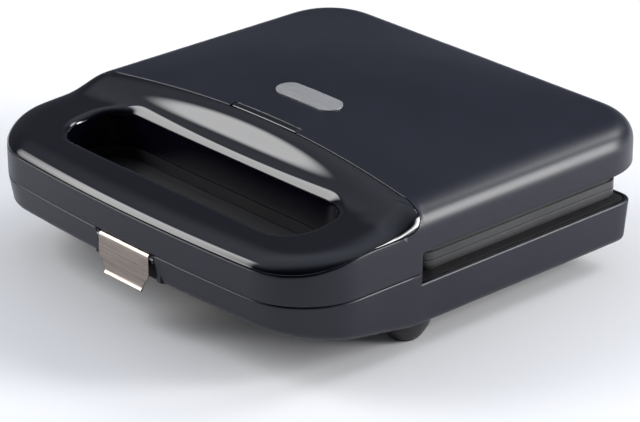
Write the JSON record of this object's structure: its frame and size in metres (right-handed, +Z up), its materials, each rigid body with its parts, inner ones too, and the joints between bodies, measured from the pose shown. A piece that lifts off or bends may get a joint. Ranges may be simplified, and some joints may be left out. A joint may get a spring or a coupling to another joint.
{
  "type": "sandwich toaster",
  "caption": "Countertop sandwich toaster with a hinged lid, a slotted loop handle, a steel closing clip and two cast plates with triangular pockets.",
  "frame": {"origin": "on the table, under the middle of the closed appliance's bounding box", "axes": "+Z up, -Y towards the handle and the user, +X to the user's right"},
  "size_m": [0.235, 0.245, 0.0816],
  "materials": {
    "housing_plastic": "fine matte grain, blue-black",
    "panel_plastic": "polished black",
    "frame_plastic": "matte black, heat resistant",
    "foot_plastic": "matte black",
    "pad_rubber": "matte",
    "screw_steel": "plated",
    "plate_cast": "dark non-stick coating over die casting",
    "element_steel": "heat-tinted tube",
    "reflector_sheet": "bright sheet",
    "block_plastic": "ivory",
    "lead_plastic": "insulated wire",
    "bush_rubber": "matte",
    "pin_steel": "ground",
    "window_plastic": "smoked, polished",
    "lamp_plastic": "white heat-resistant moulding",
    "lamp_red": "clear red cap",
    "lamp_green": "clear green cap",
    "badge_metal": "satin, bare",
    "thermostat_body": "ceramic-coloured housing",
    "clip_steel": "brushed stainless"
  },
  "bodies": {
    "base": {"lower_housing": "housing_plastic", "lower_frame": "frame_plastic", "feet": "foot_plastic", "foot_pads": "pad_rubber", "foot_screws": "screw_steel", "case_screws": "screw_steel", "lower_plate": "plate_cast", "lower_plate_screws": "screw_steel", "lower_element": "element_steel", "lower_reflector": "reflector_sheet", "lower_reflector_screws": "screw_steel", "terminal_block": "block_plastic", "lower_leads": "lead_plastic", "cord_inlet": "bush_rubber", "hinge_pins": "pin_steel"},
    "lid": {"upper_housing": "housing_plastic", "upper_frame": "frame_plastic", "handle_floor": "frame_plastic", "upper_frame_screws": "screw_steel", "handle_panel": "panel_plastic", "panel_screws": "screw_steel", "indicator_window": "window_plastic", "lamp_holder": "lamp_plastic", "power_lamp": "lamp_red", "ready_lamp": "lamp_green", "badge": "badge_metal", "upper_plate": "plate_cast", "upper_plate_screws": "screw_steel", "upper_element": "element_steel", "upper_reflector": "reflector_sheet", "upper_reflector_screws": "screw_steel", "thermostat": "thermostat_body", "thermal_fuse": "thermostat_body", "upper_leads": "lead_plastic", "clip_pin": "pin_steel"},
    "latch": {"clip": "clip_steel"}
  },
  "joints": [
    {"name": "lid_hinge", "type": "hinge", "parent": "base", "child": "lid", "pos_m": [0, 0.1102, 0.041], "axis": [-1, 0, 0], "range_deg": [0, 100]},
    {"name": "clip_hinge", "type": "hinge", "parent": "lid", "child": "latch", "pos_m": [0, -0.1146, 0.0375], "axis": [-1, 0, 0], "range_deg": [0, 60]}
  ]
}
